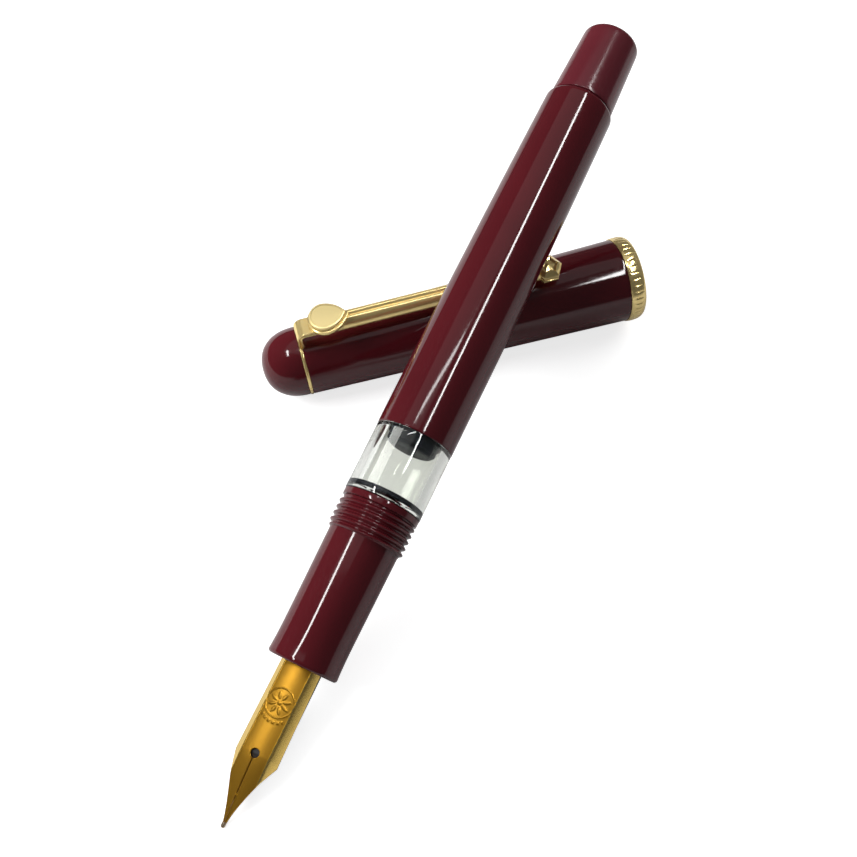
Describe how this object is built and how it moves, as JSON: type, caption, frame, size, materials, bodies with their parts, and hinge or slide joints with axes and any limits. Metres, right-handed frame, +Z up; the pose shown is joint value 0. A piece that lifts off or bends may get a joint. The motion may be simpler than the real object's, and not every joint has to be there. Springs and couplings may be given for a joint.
{
  "type": "fountain pen",
  "caption": "Piston-filling fountain pen with gold nib, clear ink window and turning knob, lying across its own screw-on cap with a sprung pocket clip.",
  "frame": {"origin": "bottom centre of the box round the pen and cap as they lie, on the table top", "axes": "+Z up from the table; the pen's axis lies in the XZ plane, with the nib towards -X and the turning knob raised towards +X; the cap lies under the pen at 47.65 degrees to it"},
  "size_m": [0.1244, 0.051, 0.0358],
  "materials": {
    "burgundy_resin": "polished cast resin, deep burgundy",
    "knob_resin": "polished cast resin, a shade lighter than the barrel",
    "gold": "gold plate, polished; brushed on the face of the nib",
    "iridium": "ground hard-metal pellet",
    "clear_resin": "polished clear acrylic, faintly grey",
    "black_rubber": "smooth moulded rubber, blue black",
    "black_plastic": "moulded black plastic",
    "ivory_nylon": "turned natural nylon",
    "steel": "turned stainless steel"
  },
  "bodies": {
    "cap": {"cap_tube": "burgundy_resin", "cap_liner": "black_plastic", "cap_band": "gold", "cap_finial": "burgundy_resin", "finial_screw": "steel", "clip_ring": "gold"},
    "clip": {"clip": "gold", "medallion_base": "gold", "medallion_face": "gold"},
    "pen": {"nib": "gold", "nib_tipping": "iridium", "feed": "black_plastic", "nib_sleeve": "black_plastic", "grip_section": "burgundy_resin", "ink_window": "clear_resin", "window_gasket": "black_rubber", "barrel": "burgundy_resin", "mechanism_housing": "ivory_nylon", "housing_o_ring": "black_rubber", "retaining_ring": "steel"},
    "piston": {"piston_rod": "ivory_nylon", "piston_seal": "black_rubber"},
    "knob": {"spindle": "ivory_nylon", "turning_knob": "knob_resin", "friction_washer": "black_plastic"}
  },
  "joints": [
    {"name": "clip_flex", "type": "hinge", "parent": "cap", "child": "clip", "pos_m": [0.00172, 0.01886, 0.01118], "axis": [-0.7333, -0.6718, -0.1045], "range_deg": [0, 3], "stiffness_Nm_per_rad": 1.5},
    {"name": "pen_lift", "type": "slide", "parent": "clip", "child": "pen", "axis": [0, 0, 1], "range_m": [0, 0.04]},
    {"name": "knob_turn", "type": "hinge", "parent": "pen", "child": "knob", "pos_m": [0.04897, -0.006, 0.0285], "axis": [0.9692, 0, 0.2464], "range_deg": [-1215.5, 468.5]},
    {"name": "piston_travel", "type": "slide", "parent": "pen", "child": "piston", "axis": [0.9692, 0, 0.2464], "range_m": [-0.0052, 0.0135]}
  ],
  "couplings": [
    {"joint": "knob_turn", "follows": "piston_travel", "rad_per_m": -1570.8}
  ]
}
